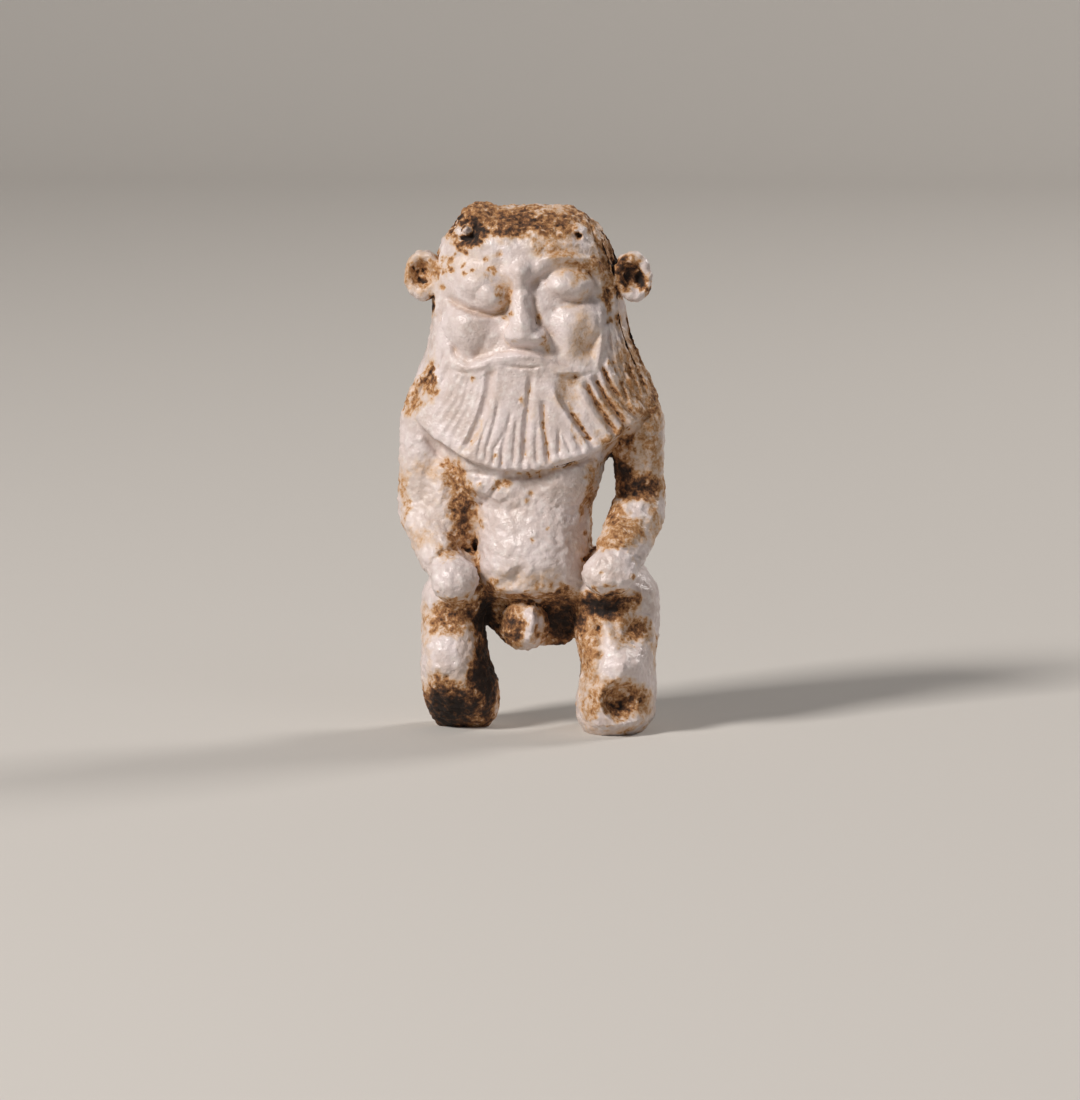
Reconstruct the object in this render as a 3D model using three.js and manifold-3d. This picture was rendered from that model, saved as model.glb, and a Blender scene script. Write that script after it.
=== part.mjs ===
// A small moulded amulet of glazed composition: a bearded dwarf god with a lion's ears, his fists on his thighs.
// It was pressed and fired as one piece, so it is one solid. The crown is broken off flat and the toes are lost.
// Millimetres, +Z up. The figure faces -Y and stands on its soles, with the origin under the middle of its box.
import * as THREE from "three";
import { LoftGeometry } from "three/addons/geometries/LoftGeometry.js";
import { mergeVertices } from "three/addons/utils/BufferGeometryUtils.js";
import Module from "manifold-3d";

const wasm = await Module();
wasm.setup();

// Driving sizes
const height = 36; // from the soles to the broken crown
const gridSquares = 36; // squares of the sculptor's grid to the height
const square = height / gridSquares; // pose and proportions are counted in these squares

// Carving that keeps its own size
const beardStrands = 24; // locks across the whole beard and collar
const beardRelief = 0.28; // depth of the grooves between locks
const beardStep = 0.75; // how far the beard's lower edge stands out from the chest
const chinPanelStep = 0.3; // how far the middle of the beard stands in front of the side locks
const maneFlutes = 18; // grooves round the mane
const maneRelief = 0.22; // depth of those grooves
const earHalfWidth = 1.4;
const earHalfHeight = 1.8;
const earThickness = 1.6;
const earCupDepth = 0.65;
const browRadius = 0.5;
const moustacheRadius = 0.52;
const cheekRise = 0.8;
const eyeSocketDepth = 0.5;
const mouthDepth = 0.25;
const navelDepth = 0.35;
const crownHollowDepth = 0.5;
const crownBeadRadius = 0.46;
const footHollowDepth = 0.7;
const lugHoleRadius = 0.6; // for the cord, behind the neck
const lugWall = 0.7; // glazed paste round that hole
const lugWidth = 1.7;
const facetTolerance = 0.03; // flatter facets than this are merged
const soleCut = 2; // depth of the block that trims the soles flat

const faceAcross = -0.4; // the face and the ears are this far off the middle, in squares

// A point of the sculptor's grid: across to the figure's left, forward of its middle, and up from the soles.
function at(across, forward, up) {
  return new THREE.Vector3(across, -forward, up).multiplyScalar(square);
}

// A closed geometry as a solid, turned the right way out.
function solid(geometry) {
  const bare = new THREE.BufferGeometry().copy(geometry);
  for (const name of Object.keys(bare.attributes)) {
    if (name !== "position") bare.deleteAttribute(name);
  }
  const merged = mergeVertices(bare, 1e-4);
  const triVerts = new Uint32Array(merged.index.array);
  const vertProperties = merged.attributes.position.array;
  const corner = (i) => new THREE.Vector3().fromArray(vertProperties, 3 * i);
  let sixVolumes = 0;
  for (let i = 0; i < triVerts.length; i += 3) {
    const [a, b, c] = [0, 1, 2].map((k) => corner(triVerts[i + k]));
    sixVolumes += a.dot(b.cross(c));
  }
  if (sixVolumes < 0) triVerts.reverse();
  return new wasm.Manifold(new wasm.Mesh({ numProp: 3, vertProperties, triVerts }));
}

// An ellipsoid lump: centre and half sizes across, forward and up in squares, turned by degrees about X, Y and Z.
// A taper widens its top and narrows its foot by that share.
function lump(centre, halves, { turn = [0, 0, 0], sides = 12, taper = 0 } = {}) {
  const geometry = new THREE.SphereGeometry(1, sides, Math.round(sides * 0.62));
  geometry.rotateX(Math.PI / 2);
  const places = geometry.attributes.position;
  for (let i = 0; i < places.count; i++) places.setX(i, places.getX(i) * (1 + taper * places.getZ(i)));
  geometry.scale(...halves.map((half) => half * square));
  geometry.rotateX(THREE.MathUtils.degToRad(turn[0]));
  geometry.rotateY(THREE.MathUtils.degToRad(turn[1]));
  geometry.rotateZ(THREE.MathUtils.degToRad(turn[2]));
  geometry.translate(...at(...centre));
  return solid(geometry);
}

// A round-ended limb through stations of [across, forward, up, radius], in squares.
function limb(stations, steps = 7, sides = 8) {
  const line = new THREE.CatmullRomCurve3(stations.map(([x, f, z]) => at(x, f, z)));
  const girth = new THREE.SplineCurve(stations.map(([, , , r], i) => new THREE.Vector2(i, r * square)));
  const frames = line.computeFrenetFrames(steps, false);
  const sections = [];
  const addSection = (step, bend) => {
    const along = step / steps;
    const radius = girth.getPoint(line.getUtoTmapping(along)).y;
    const centre = line.getPointAt(along).addScaledVector(frames.tangents[step], radius * Math.sin(bend));
    sections.push(Array.from({ length: sides }, (_, j) => {
      const angle = (2 * Math.PI * j) / sides;
      return centre.clone()
        .addScaledVector(frames.normals[step], radius * Math.cos(bend) * Math.cos(angle))
        .addScaledVector(frames.binormals[step], radius * Math.cos(bend) * Math.sin(angle));
    }));
  };
  const endBends = [1.3, 0.7];
  endBends.forEach((bend) => addSection(0, -bend));
  for (let step = 0; step <= steps; step++) addSection(step, 0);
  endBends.toReversed().forEach((bend) => addSection(steps, bend));
  return solid(new LoftGeometry(sections, { capStart: true, capEnd: true }));
}

// Smooth values between the stations of a table whose first column rises.
function between(table) {
  const keys = table.map(([key]) => key);
  const values = table.flatMap((row) => row.slice(1));
  const reader = new THREE.CubicInterpolant(keys, values, table[0].length - 1);
  return (key) => [...reader.evaluate(key)];
}

// A body in level slices. Stations are [up, across, half width, front, back] in squares; relief is in millimetres.
function slices(stations, { rows, sides, squareness = 2.3, relief = () => 0 }) {
  const soften = (value) => Math.sign(value) * Math.abs(value) ** (2 / squareness);
  const slice = between(stations);
  const sections = Array.from({ length: rows + 1 }, (_, i) => {
    const up = THREE.MathUtils.lerp(stations[0][0], stations.at(-1)[0], i / rows);
    const [across, halfWidth, front, back] = slice(up);
    return Array.from({ length: sides }, (_, j) => {
      const angle = (2 * Math.PI * j) / sides;
      const [c, s] = [Math.cos(angle), Math.sin(angle)];
      const side = across + halfWidth * soften(c);
      const point = at(side, -(s > 0 ? back : front) * soften(s), up);
      return point.add(new THREE.Vector3(c, s, 0).multiplyScalar(relief(angle, up, side)));
    });
  });
  return solid(new LoftGeometry(sections, { capStart: true, capEnd: true }));
}

// A slab of relief on the figure's front. surfacePoint gives its face for the shares across and down.
function reliefSlab(columns, rows, bedDepth, surfacePoint) {
  const sections = Array.from({ length: columns + 1 }, (_, j) => {
    const front = Array.from({ length: rows + 1 }, (_, i) => surfacePoint(j / columns, i / rows));
    const behind = (point) => point.clone().setY(Math.min(0, point.y + bedDepth * square));
    return [...front, behind(front.at(-1)), behind(front[0])];
  });
  return solid(new LoftGeometry(sections, { capStart: true, capEnd: true }));
}

// A swelling of the surface round a centre: 1 in the middle, 0 at the half sizes; a low bluntness has a crisp edge.
function swell(x, z, [centreX, centreZ], [halfX, halfZ], bluntness = 1) {
  const away = ((x - centreX) / halfX) ** 2 + ((z - centreZ) / halfZ) ** 2;
  return Math.max(0, 1 - away) ** bluntness;
}

// Both sides of the face: part(side) is built for the figure's right, -1, and left, 1.
const bothSides = (part) => [-1, 1].map(part);
const onFace = (side, across) => faceAcross + side * across;

// The torso: a paunch over the loins and breasts that show under the beard.
function torso() {
  const paunch = (angle, up, side) => {
    if (Math.sin(angle) > 0) return 0;
    const breasts = swell(side, up, [-3.3, 17.6], [2.2, 2.0], 0.8) + swell(side, up, [2.7, 17.7], [2.2, 1.9], 0.8);
    return 0.85 * breasts * square;
  };
  return slices([
    [5.6, 0.2, 2.0, 0.1, 1.3],
    [6.2, 0.2, 3.0, 0.4, 2.2],
    [7.4, 0.2, 3.6, 0.8, 3.2],
    [8.8, 0.2, 3.9, 2.0, 4.2],
    [9.8, 0.1, 4.0, 4.1, 4.4],
    [11.4, 0.1, 4.0, 4.95, 4.1],
    [13.4, 0.1, 3.9, 4.7, 3.6],
    [15.6, 0.0, 4.1, 3.95, 3.5],
    [18.6, -0.3, 5.4, 3.8, 4.0],
    [21.0, -0.1, 7.2, 3.4, 4.2],
    [22.6, 0.0, 6.6, 2.6, 3.8],
  ], { rows: 12, sides: 20, relief: paunch });
}

const headStations = [
  [20.6, 0.05, 7.5, 3.0, 4.5],
  [21.8, 0.05, 8.45, 3.2, 4.8],
  [23.0, 0.05, 8.3, 3.5, 4.9],
  [24.2, 0.05, 7.85, 3.8, 5.0],
  [25.6, -0.05, 7.15, 4.0, 5.05],
  [27.2, -0.2, 6.65, 4.1, 5.1],
  [29.0, -0.35, 6.4, 4.1, 5.1],
  [31.0, -0.45, 6.1, 4.1, 4.9],
  [32.8, -0.5, 5.75, 4.15, 4.5],
  [34.2, -0.5, 5.05, 3.7, 3.9],
  [35.1, -0.4, 4.4, 2.7, 3.0],
  [35.6, -0.4, 3.2, 1.6, 2.0],
];
const headSquareness = 2.5;
const headSlice = between(headStations);

const eyeSockets = (across, up) => Math.max(...bothSides((side) => (
  swell(across, up, [onFace(side, 3.1), 30.9], [2.7, 1.9])
)));

// The head and the mane, a hood of hair that widens to the shoulders.
function headAndMane() {
  const relief = (angle, up, across) => {
    const toTheCrown = THREE.MathUtils.smoothstep(up, 33, 35);
    const flute = maneRelief * Math.cos(maneFlutes * angle) * (1 - toTheCrown);
    const toTheFront = THREE.MathUtils.smoothstep(-Math.sin(angle), 0.25, 0.6);
    return THREE.MathUtils.lerp(flute, -eyeSocketDepth * eyeSockets(across, up), toTheFront);
  };
  return slices(headStations, { rows: 13, sides: 3 * maneFlutes, squareness: headSquareness, relief });
}

// A place on the face: across from its middle, standing out from the head's front, and up, in squares.
function onHead(side, fromMiddle, proud, up) {
  const [middle, halfWidth, front] = headSlice(up);
  const across = onFace(side, fromMiddle);
  const share = Math.abs(across - middle) / halfWidth;
  const forward = front * (1 - share ** headSquareness) ** (1 / headSquareness);
  return [across, forward + proud - (eyeSocketDepth / square) * eyeSockets(across, up), up];
}

// The broken crown: two worn humps, a shallow hollow with a bead in it, and a boss with a pit.
function crown() {
  return [
    lump([-3.4, 0.9, 34.25], [1.9, 2.1, 1.75], { sides: 10 }),
    lump([0.6, 0.6, 34.2], [3.85, 2.7, 1.65]),
    lump([3.4, 0.7, 33.4], [1.65, 2.1, 1.35], { sides: 10 }),
    lump([3.25, 2.6, 34.0], [0.65, 0.6, 0.65], { sides: 8 }),
  ];
}
const crownHollow = [-4.25, 2.75, 34.25];
const crownPit = [3.25, 3.2, 34.0];

function ear(side) {
  const cupMouth = 0.6; // shares of the ear's half width
  const cupFloor = 0.36;
  const [front, back] = [-earThickness / 2, earThickness / 2];
  const outline = [
    [0, back], [0.55, back * 0.9], [0.9, back * 0.45], [1, front * 0.2], [0.92, front * 0.8], [0.76, front],
    [cupMouth, front * 0.9], [cupFloor, front + earCupDepth], [0, front + earCupDepth],
  ].map(([radius, depth]) => new THREE.Vector2(radius, depth));
  const geometry = new THREE.LatheGeometry(outline, 12);
  geometry.scale(earHalfWidth, 1, earHalfHeight);
  geometry.rotateZ(THREE.MathUtils.degToRad(side * 14));
  geometry.rotateY(THREE.MathUtils.degToRad(side * -8));
  geometry.translate(...at(onFace(side, 6.2) + 0.15, 0.8, 30.75));
  geometry.translate(side * earHalfWidth * 0.62, 0, 0);
  return solid(geometry);
}

// The left brow is a crisp ridge; the right one is worn to a low swelling over the eye.
function brows() {
  const radius = browRadius / square;
  return [
    limb([
      [...onHead(1, 0.4, -0.1, 31.2), radius * 0.9],
      [...onHead(1, 1.6, -0.05, 32.1), radius],
      [...onHead(1, 3.2, -0.1, 32.45), radius],
      [...onHead(1, 4.7, -0.15, 31.8), radius],
      [...onHead(1, 5.5, -0.25, 30.9), radius * 0.8],
    ]),
    limb([
      [...onHead(-1, 0.6, -0.35, 31.6), radius],
      [...onHead(-1, 2.6, -0.35, 32.3), radius],
      [...onHead(-1, 4.9, -0.45, 31.5), radius * 0.9],
    ], 5),
    lump(onHead(1, 0, -0.55, 31.7), [1.1, 1.0, 1.0], { sides: 10 }), // the swelling between them
  ];
}

// Heavy, downcast lids
const eye = (side) => (
  lump(onHead(side, 3.1, -0.3, 30.65), [1.75, 1.35, 1.25], { turn: [0, side * 6, side * 12] })
);

const cheek = (side) => (
  lump(onHead(side, 3.5, cheekRise / square - 1.7, 27.6), [2.0, 1.7, 2.0],
    { turn: [0, side * 10, side * 14], taper: 0.4 })
);

function nose() {
  return [
    limb([
      [...onHead(1, 0, -0.6, 31.5), 0.75],
      [...onHead(1, 0, -0.2, 30.2), 0.75],
      [...onHead(1, 0.05, 0.15, 28.8), 0.85],
      [...onHead(1, 0.1, 0.45, 27.9), 1.0],
    ], 6),
    lump(onHead(-1, 0.5, 0.1, 27.45), [0.75, 1.1, 0.62], { sides: 10 }),
    lump(onHead(1, 0.9, 0.1, 27.45), [0.95, 1.1, 0.62], { sides: 10 }),
  ];
}

function moustache(side) {
  const radius = moustacheRadius / square;
  return limb([
    [...onHead(side, -0.15, 0.4, 26.3), radius * 0.9],
    [...onHead(side, 1.2, 0.4, 26.0), radius],
    [...onHead(side, 2.4, 0.3, 25.4), radius],
    [...onHead(side, 3.9, 0.1, 25.2), radius * 0.95],
    [...onHead(side, 5.1, -0.15, 25.5), radius * 0.8],
  ], 9);
}

// The beard and collar of locks: a fan that starts under the moustache and beside the face and ends on the chest.
function beard() {
  const pointsPerStrand = 3;
  const rows = 5;
  const chinPanel = 0.53; // share of the fan taken by the beard's middle
  const rootLine = (u) => [faceAcross + 4.0 * u + 1.9 * u ** 3, 25.1 + 3.0 * Math.abs(u) ** 3];
  const tipLine = (u) => [-0.35 + 8.45 * u, 18.1 + 4.1 * Math.abs(u) ** 2.1];
  const chest = (x, z) => {
    const fall = THREE.MathUtils.clamp((25 - z) / 7, 0, 1);
    const halfWidth = THREE.MathUtils.lerp(7.4, 9.3, fall);
    const bulge = Math.sqrt(Math.max(0.02, 1 - (Math.abs(x) / halfWidth) ** 2.4));
    return THREE.MathUtils.lerp(4.35, 4.1, fall) * bulge * square;
  };
  return reliefSlab(beardStrands * pointsPerStrand, rows, 2.4, (share, fall) => {
    const u = 2 * share - 1;
    const flare = fall ** THREE.MathUtils.lerp(2.2, 1.1, Math.abs(u));
    const x = THREE.MathUtils.lerp(rootLine(u)[0], tipLine(u)[0], flare);
    const z = THREE.MathUtils.lerp(rootLine(u)[1], tipLine(u)[1], fall);
    const lock = Math.abs(Math.sin(Math.PI * share * beardStrands)) ** 0.6;
    const panel = 1 - THREE.MathUtils.smoothstep(Math.abs(u), chinPanel - 0.03, chinPanel + 0.03);
    const splitLock = Math.round(share * beardStrands) % 2; // every other groove only parts the ends
    const groove = beardRelief * (lock - 1) * (splitLock ? THREE.MathUtils.smoothstep(fall, 0.3, 0.6) : 1);
    return at(x, 0, z).setY(-(chest(x, z) + beardStep * fall + panel * chinPanelStep + groove));
  });
}

function arm(side, { shoulder, elbow, wrist, girths }) {
  const partWay = (a, b, share) => a.map((value, k) => THREE.MathUtils.lerp(value, b[k], share));
  const signed = ([x, f, z], radius) => [side * x, f, z, radius];
  return [
    limb([
      signed(shoulder, girths[0]),
      signed(partWay(shoulder, elbow, 0.5), girths[1]),
      signed(elbow, girths[2]),
    ], 3, 10),
    limb([
      signed([elbow[0] - 0.2, elbow[1] + 0.5, elbow[2] - 0.3], girths[3]),
      signed(partWay(elbow, wrist, 0.6), girths[3] * 0.97),
      signed(wrist, girths[4]),
    ], 3, 10),
  ];
}

// The figure's right arm is pressed against its body with a web of paste; the left one stands clear of the waist.
const arms = () => [
  ...arm(-1, { shoulder: [7.2, 0.2, 21.2], elbow: [7.75, 0.2, 14.9], wrist: [5.9, 3.0, 11.8],
    girths: [1.95, 1.75, 1.6, 1.6, 1.45] }),
  ...arm(1, { shoulder: [7.1, 0.2, 21.2], elbow: [7.4, 0.2, 15.2], wrist: [6.25, 3.3, 12.5],
    girths: [2.0, 1.75, 1.75, 1.95, 1.8] }),
  lump([-5.4, 0.8, 15.4], [2.3, 1.9, 4.8], { sides: 10 }),
  lump([5.9, -0.3, 20.8], [1.9, 2.0, 2.3], { sides: 10 }),
  lump([5.2, 0.8, 11.4], [1.7, 2.6, 1.5], { sides: 10 }),
  lump([-5.0, 0.6, 11.2], [1.9, 2.8, 1.7], { sides: 10 }),
];

const fists = () => [
  lump([-5.0, 4.0, 10.75], [1.7, 1.6, 1.65]),
  lump([5.6, 4.2, 11.35], [2.05, 1.45, 1.6], { turn: [0, -14, 0] }),
];

function legs() {
  const rightLeg = slices([
    [-0.3, -4.8, 1.6, 0.3, 2.7],
    [0.5, -4.8, 2.2, 1.6, 3.1],
    [1.5, -4.85, 2.6, 3.0, 3.2],
    [3.0, -5.0, 2.6, 4.0, 2.7],
    [4.8, -5.3, 2.35, 4.5, 2.2],
    [6.4, -5.45, 2.15, 4.0, 2.6],
    [7.8, -5.4, 2.25, 2.9, 3.6],
    [9.4, -5.1, 2.5, 3.3, 4.2],
    [10.8, -4.7, 2.2, 2.8, 3.7],
    [11.8, -4.3, 1.2, 1.6, 2.4],
  ], { rows: 10, sides: 14, squareness: 2.4 });
  const leftLeg = slices([
    [-0.3, 5.6, 2.0, 3.6, 2.8],
    [0.4, 5.65, 2.5, 4.7, 3.2],
    [1.4, 5.7, 2.75, 5.2, 3.2],
    [3.0, 5.8, 2.65, 5.1, 2.7],
    [4.8, 5.85, 2.55, 4.9, 2.3],
    [6.4, 5.75, 2.9, 3.7, 2.7],
    [8.0, 5.6, 3.1, 2.8, 3.7],
    [9.6, 5.4, 3.2, 3.5, 4.2],
    [11.2, 4.9, 2.6, 3.0, 3.7],
    [12.2, 4.4, 1.4, 1.6, 2.4],
  ], { rows: 10, sides: 14, squareness: 2.4 });
  return [rightLeg, leftLeg];
}

const loins = () => [
  lump([-0.4, 2.2, 7.3], [1.75, 1.5, 1.8], { turn: [0, -8, 0] }),
  limb([
    [0.1, 3.1, 8.4, 0.5],
    [0.2, 3.6, 7.5, 0.5],
    [0.1, 3.5, 6.6, 0.42],
  ], 4, 8),
];

// The plain back: buttocks and a short tail between them.
const rump = () => [
  lump([-2.5, -2.9, 9.9], [2.7, 2.3, 2.6]),
  lump([2.8, -2.9, 9.9], [2.8, 2.3, 2.6]),
  limb([
    [0.15, -4.6, 11.4, 0.7],
    [0.15, -4.9, 9.5, 0.65],
    [0.2, -4.0, 7.2, 0.75],
    [0.2, -3.0, 6.4, 0.7],
  ], 6),
];

// A pierced lug behind the neck for the cord: a ring lying across the back, its hole running from side to side.
function lug() {
  const outer = lugHoleRadius + lugWall;
  const ring = new THREE.Shape().absarc(0, 0, outer, 0, 2 * Math.PI);
  ring.holes.push(new THREE.Path().absarc(0, 0, lugHoleRadius, 0, 2 * Math.PI));
  const geometry = new THREE.ExtrudeGeometry(ring, {
    depth: lugWidth - lugWall * 0.5, bevelSize: lugWall * 0.25, bevelThickness: lugWall * 0.25, bevelSegments: 1,
    curveSegments: 6,
  });
  geometry.translate(0, 0, -(lugWidth - lugWall * 0.5) / 2);
  geometry.rotateY(Math.PI / 2);
  geometry.translate(...at(-0.2, -4.9, 26.6));
  geometry.translate(0, lugHoleRadius * 1.25, 0);
  return solid(geometry);
}

// A block under the ground that trims both soles flat at z = 0.
function ground() {
  const block = new THREE.BoxGeometry(height, height, soleCut);
  block.translate(0, 0, -soleCut / 2);
  return solid(block);
}

function amulet() {
  const masses = [
    torso(), headAndMane(), ...crown(), ...bothSides(ear), ...brows(), ...bothSides(eye),
    ...bothSides(cheek), ...nose(), ...bothSides(moustache), beard(), ...arms(), ...fists(), ...legs(),
    ...loins(), ...rump(), lug(),
  ];
  const hollowHalf = crownHollowDepth / square;
  const bead = crownBeadRadius / square;
  const [hollowAcross, hollowForward, hollowUp] = crownHollow;
  const shells = masses.reduce((whole, mass) => whole.add(mass))
    .subtract(lump(crownHollow, [1.0, hollowHalf, 0.85], { turn: [0, 35, -25], sides: 12 }))
    .add(lump([hollowAcross, hollowForward - 0.3, hollowUp], [bead, bead, bead], { sides: 8 }))
    .subtract(lump(crownPit, [0.28, hollowHalf, 0.28], { sides: 8 }))
    .subtract(lump([faceAcross + 0.1, 4.75, 25.45], [1.25, 0.5 + mouthDepth / square, 0.17], { sides: 10 }))
    .subtract(lump([-0.6, 4.95, 11.1], [0.38, navelDepth / square, 0.85], { turn: [0, 35, 0], sides: 8 }))
    .subtract(lump([6.8, 5.2, 2.5], [2.0, footHollowDepth / square, 1.7]))
    .subtract(ground())
    .simplify(facetTolerance)
    .decompose();
  // The outer skin alone, so that no void is left inside where masses meet.
  return shells.reduce((largest, shell) => (shell.volume() > largest.volume() ? shell : largest));
}

// A solid's surface as a geometry, moved so that the origin is under the middle of its box.
function centred(whole) {
  const { numProp, vertProperties, triVerts } = whole.getMesh();
  const geometry = new THREE.BufferGeometry();
  const positions = new THREE.InterleavedBuffer(vertProperties, numProp);
  geometry.setAttribute("position", new THREE.InterleavedBufferAttribute(positions, 3, 0));
  geometry.setIndex(new THREE.BufferAttribute(triVerts, 1));
  geometry.computeBoundingBox();
  const middle = geometry.boundingBox.getCenter(new THREE.Vector3());
  return { geometry: geometry.toNonIndexed(), middle };
}

const { geometry, middle } = centred(amulet());
const glaze = new THREE.MeshStandardMaterial({ color: 0xd8c8b4, roughness: 0.45, metalness: 0 });
const mesh = new THREE.Mesh(geometry, glaze);
mesh.name = "amulet";
mesh.position.set(-middle.x, -middle.y, 0);

const group = new THREE.Group();
group.add(mesh);

export default group;
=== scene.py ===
# A small moulded amulet of glazed composition: a bearded dwarf god with a lion's ears.
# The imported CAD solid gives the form. It is remeshed finely here, worn soft, carved, pitted and glazed.
import math

import bpy
import numpy as np
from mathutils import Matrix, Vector, noise
from mathutils.bvhtree import BVHTree


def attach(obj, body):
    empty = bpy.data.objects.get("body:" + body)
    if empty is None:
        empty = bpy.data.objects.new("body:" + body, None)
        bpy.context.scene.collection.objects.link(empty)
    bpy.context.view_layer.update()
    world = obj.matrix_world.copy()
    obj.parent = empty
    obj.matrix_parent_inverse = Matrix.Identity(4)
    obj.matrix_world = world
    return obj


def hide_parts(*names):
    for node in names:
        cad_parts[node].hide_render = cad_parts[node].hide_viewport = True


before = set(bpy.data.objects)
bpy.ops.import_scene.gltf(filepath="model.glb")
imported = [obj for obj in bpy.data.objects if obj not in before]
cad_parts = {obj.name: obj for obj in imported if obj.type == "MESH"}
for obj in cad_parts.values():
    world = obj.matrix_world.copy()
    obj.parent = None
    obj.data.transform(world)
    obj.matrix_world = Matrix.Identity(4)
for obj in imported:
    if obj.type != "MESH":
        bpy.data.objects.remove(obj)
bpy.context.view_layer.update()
mm = 0.001

# The camera stands where the photographer's did. Strokes and stains below are placed in this picture's pixels.
picture = {
    "wide": 1080,
    "high": 1100,
    "lens": 220,
    "sensor": 36,
    "azimuth": 5,
    "elevation": 7,
    "distance": 459 * mm,
    "target": (0.56 * mm, -0.76 * mm, 12.17 * mm),
}


def placeCamera():
    azimuth = math.radians(picture["azimuth"])
    elevation = math.radians(picture["elevation"])
    back = Vector((
        math.sin(azimuth) * math.cos(elevation),
        -math.cos(azimuth) * math.cos(elevation),
        math.sin(elevation),
    ))
    place = Vector(picture["target"]) + back * picture["distance"]
    bpy.ops.object.camera_add(location=place, rotation=(-back).to_track_quat("-Z", "Y").to_euler())
    made = bpy.context.object
    made.name = "camera"
    made.data.lens = picture["lens"]
    made.data.sensor_width = picture["sensor"]
    made.data.clip_start = 0.01
    bpy.context.scene.camera = made
    bpy.context.view_layer.update()
    return made


camera = placeCamera()
print("camera placed")


# Reading and moving a mesh's points, in millimetres
def readPlaces(mesh):
    flat = np.empty(len(mesh.vertices) * 3, np.float32)
    mesh.vertices.foreach_get("co", flat)
    return flat.reshape(-1, 3).astype(float) / mm


def readNormals(mesh):
    flat = np.empty(len(mesh.vertices) * 3, np.float32)
    mesh.vertex_normals.foreach_get("vector", flat)
    return flat.reshape(-1, 3).astype(float)


def writePlaces(mesh, places):
    mesh.vertices.foreach_set("co", (places * mm).astype(np.float32).ravel())
    mesh.update()


def smoothStep(value, low, high):
    share = np.clip((value - low) / (high - low), 0, 1)
    return share * share * (3 - 2 * share)


def noiseAt(places, size, seed):
    shift = Vector((seed * 7.3, seed * 3.1, seed * 5.7))
    return np.array([noise.noise(Vector(place) / size + shift) for place in places.tolist()])


# Where points fall in the picture, in pixels across and down, and how squarely they face the camera
def inPicture(places, normals):
    turn = np.array(camera.matrix_world.to_3x3())
    away = places - np.array(camera.location) / mm
    seen = away @ turn
    longSide = max(picture["wide"], picture["high"])
    pixels = picture["lens"] / picture["sensor"] * longSide / -seen[:, 2]
    across = picture["wide"] / 2 + seen[:, 0] * pixels
    down = picture["high"] / 2 - seen[:, 1] * pixels
    toCamera = -away / np.linalg.norm(away, axis=1, keepdims=True)
    return np.stack([across, down], 1), np.sum(normals * toCamera, axis=1)


# A share that is 1 inside a window of the picture and fades over its edges
def inWindow(seen, left, top, right, bottom, fade=10):
    across, down = seen.T
    return (
        smoothStep(across, left, left + fade) * smoothStep(-across, -right, fade - right)
        * smoothStep(down, top, top + fade) * smoothStep(-down, -bottom, fade - bottom)
    )


# 1. The fine skin
skinForm = {
    "voxel": 0.08 * mm,
    "weld": 0.001 * mm,
    "wornPasses": 50,  # smoothing of the limbs, the torso and the back
    "allPasses": 12,  # smoothing that everything gets, the face too
    "healedPasses": 500,
    "carvedPasses": 6,  # takes the tool's edge off the carving
    "beardPasses": 200,  # takes the solid's even locks out of the beard, so that its own can be carved
    "faces": 190000,
}

beardTop = [(405, 420), (430, 385), (450, 378), (480, 371), (495, 363), (520, 361), (545, 363), (570, 376), (600, 371),
            (612, 340), (640, 330)]
beardFoot = [(412, 405), (425, 425), (440, 442), (454, 456), (500, 467), (540, 465), (590, 451), (620, 436), (655, 400)]


def selectOnly(thing):
    bpy.ops.object.select_all(action="DESELECT")
    thing.select_set(True)
    bpy.context.view_layer.objects.active = thing


def applyModifier(thing, kind, **settings):
    modifier = thing.modifiers.new(kind.lower(), kind)
    for name, value in settings.items():
        setattr(modifier, name, value)
    selectOnly(thing)
    bpy.ops.object.modifier_apply(modifier=modifier.name)


def weighPoints(thing, name, weights, levels=12):
    group = thing.vertex_groups.new(name=name)
    steps = np.rint(np.clip(weights, 0, 1) * levels).astype(int)
    for step in range(1, levels + 1):
        group.add(np.flatnonzero(steps == step).tolist(), step / levels, "REPLACE")
    return name


# Windows of the picture (left, top, right, bottom, fade) that keep the solid's crisp forms: face, bead and boss
crispWindows = [(427, 238, 620, 358, 10), (448, 215, 490, 252, 6), (568, 218, 596, 250, 6)]

# Windows where the solid is worn smooth, to be carved anew or to close a gap that the real one doesn't have
healed = [(492, 338, 554, 357), (484, 356, 558, 380), (440, 252, 512, 316), (538, 258, 594, 273)]
filled = [(499, 361, 550, 372)]  # where the gap is too deep for that and is filled first

# Small shifts that bring the forms of the solid right under the picture: (centre, half sizes, shift in pixels)
nudges = [
    ((420, 278), (36, 40), (0, -5)),
    ((634, 278), (36, 40), (0, -5)),
    ((524, 336), (24, 12), (0, 6)),
    ((520, 352), (30, 15), (0, 7)),
    ((562, 357), (26, 15), (0, 9)),
    ((468, 363), (30, 15), (0, 4)),
    ((453, 577), (30, 30), (0, 4)),
    ((612, 572), (34, 30), (0, 3)),
]


def nudgeSkin():
    places = readPlaces(skin.data)
    seen, facing = inPicture(places, readNormals(skin.data))
    shift = np.zeros((len(places), 2))
    shares = np.zeros(len(places))
    for centre, halves, move in nudges:
        share = np.exp(-(np.sum(((seen - np.array(centre)) / np.array(halves)) ** 2, axis=1) ** 1.5))
        shift += share[:, None] * np.array(move)
        shares += share
    shift /= np.maximum(shares, 1)[:, None]
    pixels = picture["lens"] / picture["sensor"] * max(picture["wide"], picture["high"]) / (picture["distance"] / mm)
    turn = np.array(camera.matrix_world.to_3x3())
    places += (shift[:, :1] * turn[:, 0] - shift[:, 1:] * turn[:, 1]) / pixels
    writePlaces(skin.data, places)


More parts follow.
